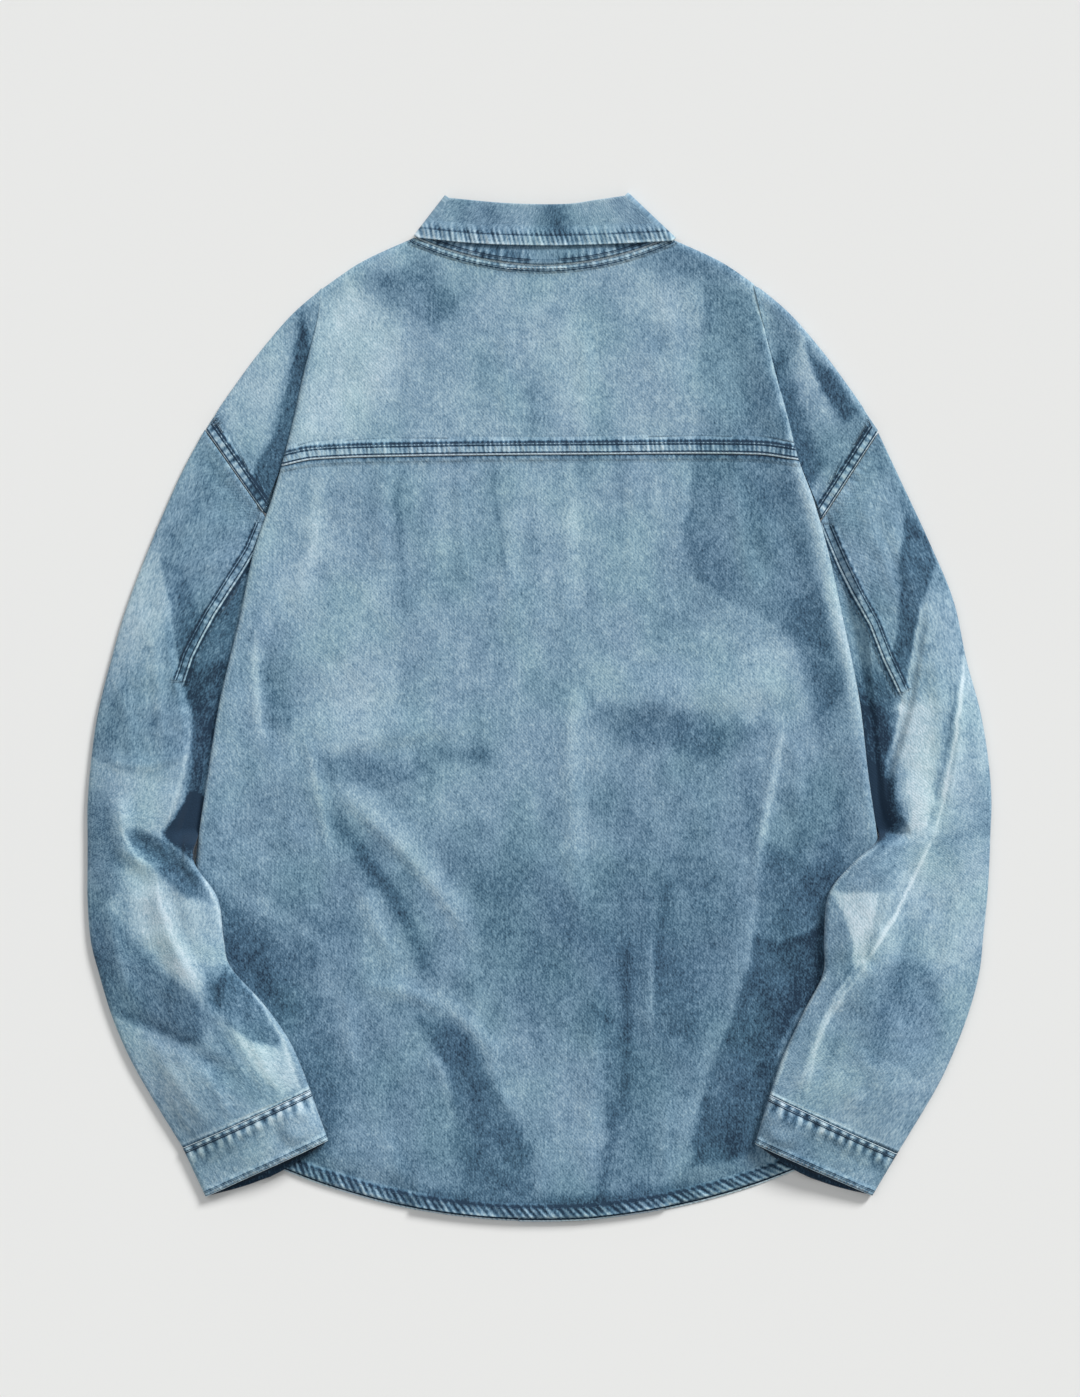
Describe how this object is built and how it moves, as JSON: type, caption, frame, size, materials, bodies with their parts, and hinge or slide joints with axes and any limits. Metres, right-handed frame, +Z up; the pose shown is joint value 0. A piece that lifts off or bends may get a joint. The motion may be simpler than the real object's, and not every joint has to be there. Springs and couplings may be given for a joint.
{
  "type": "denim shirt",
  "caption": "Loose washed denim shirt laid flat face down, long sleeves folded over its sides, back yoke, curved hem, cuffs and turned-down collar",
  "frame": {"origin": "Middle of the shirt's box, on the surface that it lies on", "axes": "+Z up off the surface, +Y from the hem to the collar, +X to the wearer's right, back side up"},
  "size_m": [0.7046, 0.8014, 0.0243],
  "materials": {
    "washed_denim": "light stone-washed blue twill, matt, slubby, with paler ridges and darker gaps",
    "button_resin": "dark cast resin"
  },
  "bodies": {
    "root": {"front_left": "washed_denim", "front_right": "washed_denim", "front_placket": "washed_denim", "back_panel": "washed_denim", "back_yoke": "washed_denim", "collar_stand": "washed_denim", "collar_leaf": "washed_denim", "sleeve_left": "washed_denim", "sleeve_right": "washed_denim", "cuff_left": "washed_denim", "cuff_right": "washed_denim", "button_front_1": "button_resin", "button_front_2": "button_resin", "button_front_3": "button_resin", "button_front_4": "button_resin", "button_front_5": "button_resin", "button_front_6": "button_resin", "button_front_7": "button_resin", "button_collar": "button_resin", "button_cuff_left": "button_resin", "button_cuff_right": "button_resin"}
  },
  "joints": []
}
